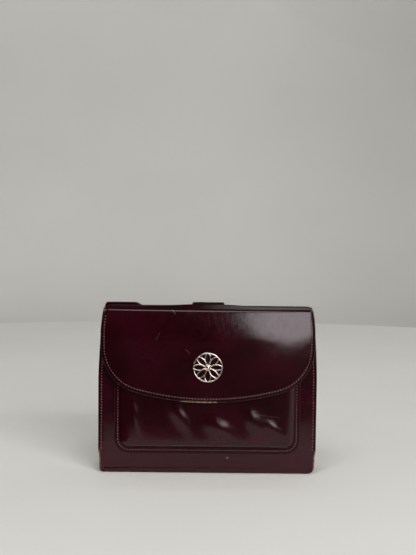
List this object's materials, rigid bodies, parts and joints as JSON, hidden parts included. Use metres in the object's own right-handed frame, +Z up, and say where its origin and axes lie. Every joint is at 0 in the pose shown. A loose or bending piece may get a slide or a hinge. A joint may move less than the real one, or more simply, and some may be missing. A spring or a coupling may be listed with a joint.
{
  "type": "bifold wallet",
  "caption": "Compact leather bifold wallet with a snap-flap coin pocket on the front, card slots, a note compartment and a snap strap over the top.",
  "frame": {"origin": "middle of the bounding box in X and Y, on the plane the spine stands on", "axes": "+X to the right as seen from the flap side, +Y from the flap side to the back, +Z up from the spine to the flap's crease"},
  "size_m": [0.1264, 0.0346, 0.098],
  "materials": {
    "outer_leather": "glossy smooth calf leather, deep burgundy",
    "lining_leather": "thin satin lining leather, burgundy",
    "lining_cloth": "fine woven lining, burgundy",
    "board": "non-woven stiffening board, hidden",
    "thread": "waxed burgundy thread",
    "silver_metal": "polished plated metal, worn in places",
    "snap_metal": "plated snap fastener metal"
  },
  "bodies": {
    "spine": {"spine_cover": "outer_leather", "spine_lining": "lining_leather", "spine_rim": "lining_leather"},
    "front_half": {"front_cover": "outer_leather", "front_board": "board", "front_lining": "lining_leather", "front_binding": "lining_leather", "slip_pocket": "lining_leather", "coin_pocket_leather": "outer_leather", "coin_pocket_lining": "lining_cloth", "coin_pocket_back_lining": "lining_cloth", "coin_pocket_stitching": "thread", "front_edge_stitching": "thread", "pocket_snap_stud": "snap_metal", "pocket_snap_post": "snap_metal", "inner_snap_stud": "snap_metal", "inner_snap_post": "snap_metal", "flap_root": "outer_leather", "flap_root_stitching": "thread"},
    "flap_bridge": {"flap_bridge_leather": "outer_leather", "flap_bridge_lining": "lining_leather"},
    "flap": {"flap_leather": "outer_leather", "flap_lining": "lining_leather", "flap_stitching": "thread", "emblem": "silver_metal", "emblem_washers": "silver_metal", "flap_snap_socket": "snap_metal", "flap_snap_cap": "snap_metal"},
    "back_half": {"back_cover": "outer_leather", "back_board": "board", "back_lining": "lining_leather", "back_binding": "lining_leather", "bill_divider": "lining_cloth", "card_slot_1": "lining_leather", "card_slot_2": "lining_leather", "card_slot_3": "lining_leather", "card_slot_4": "lining_leather", "card_slot_stitching": "thread", "back_edge_stitching": "thread", "strap_root_leather": "outer_leather", "strap_root_lining": "lining_leather", "strap_stitching": "thread"},
    "strap_bridge": {"strap_bridge_leather": "outer_leather", "strap_bridge_lining": "lining_leather"},
    "strap_end": {"strap_end_leather": "outer_leather", "strap_end_lining": "lining_leather", "strap_snap_socket": "snap_metal", "strap_snap_cap": "snap_metal"}
  },
  "joints": [
    {"name": "front_fold", "type": "hinge", "parent": "spine", "child": "front_half", "pos_m": [0, -0.00685, 0.00026], "axis": [1, 0, 0], "range_deg": [0, 65]},
    {"name": "back_fold", "type": "hinge", "parent": "spine", "child": "back_half", "pos_m": [0, 0.01534, 0.00026], "axis": [-1, 0, 0], "range_deg": [0, 88]},
    {"name": "flap_lift", "type": "hinge", "parent": "front_half", "child": "flap_bridge", "pos_m": [0, -0.00039, 0.09761], "axis": [-1, 0, 0], "range_deg": [0, 90]},
    {"name": "flap_unfold", "type": "hinge", "parent": "flap_bridge", "child": "flap", "pos_m": [0, -0.01271, 0.09541], "axis": [-1, 0, 0], "range_deg": [0, 90]},
    {"name": "strap_lift", "type": "hinge", "parent": "back_half", "child": "strap_bridge", "pos_m": [0, 0.0167, 0.0976], "axis": [-1, 0, 0], "range_deg": [0, 65]},
    {"name": "strap_unfold", "type": "hinge", "parent": "strap_bridge", "child": "strap_end", "pos_m": [0, 0.0021, 0.0976], "axis": [-1, 0, 0], "range_deg": [0, 65]}
  ],
  "couplings": [
    {"joint": "strap_lift", "follows": "front_fold", "ratio": 1},
    {"joint": "strap_unfold", "follows": "front_fold", "ratio": 1}
  ]
}
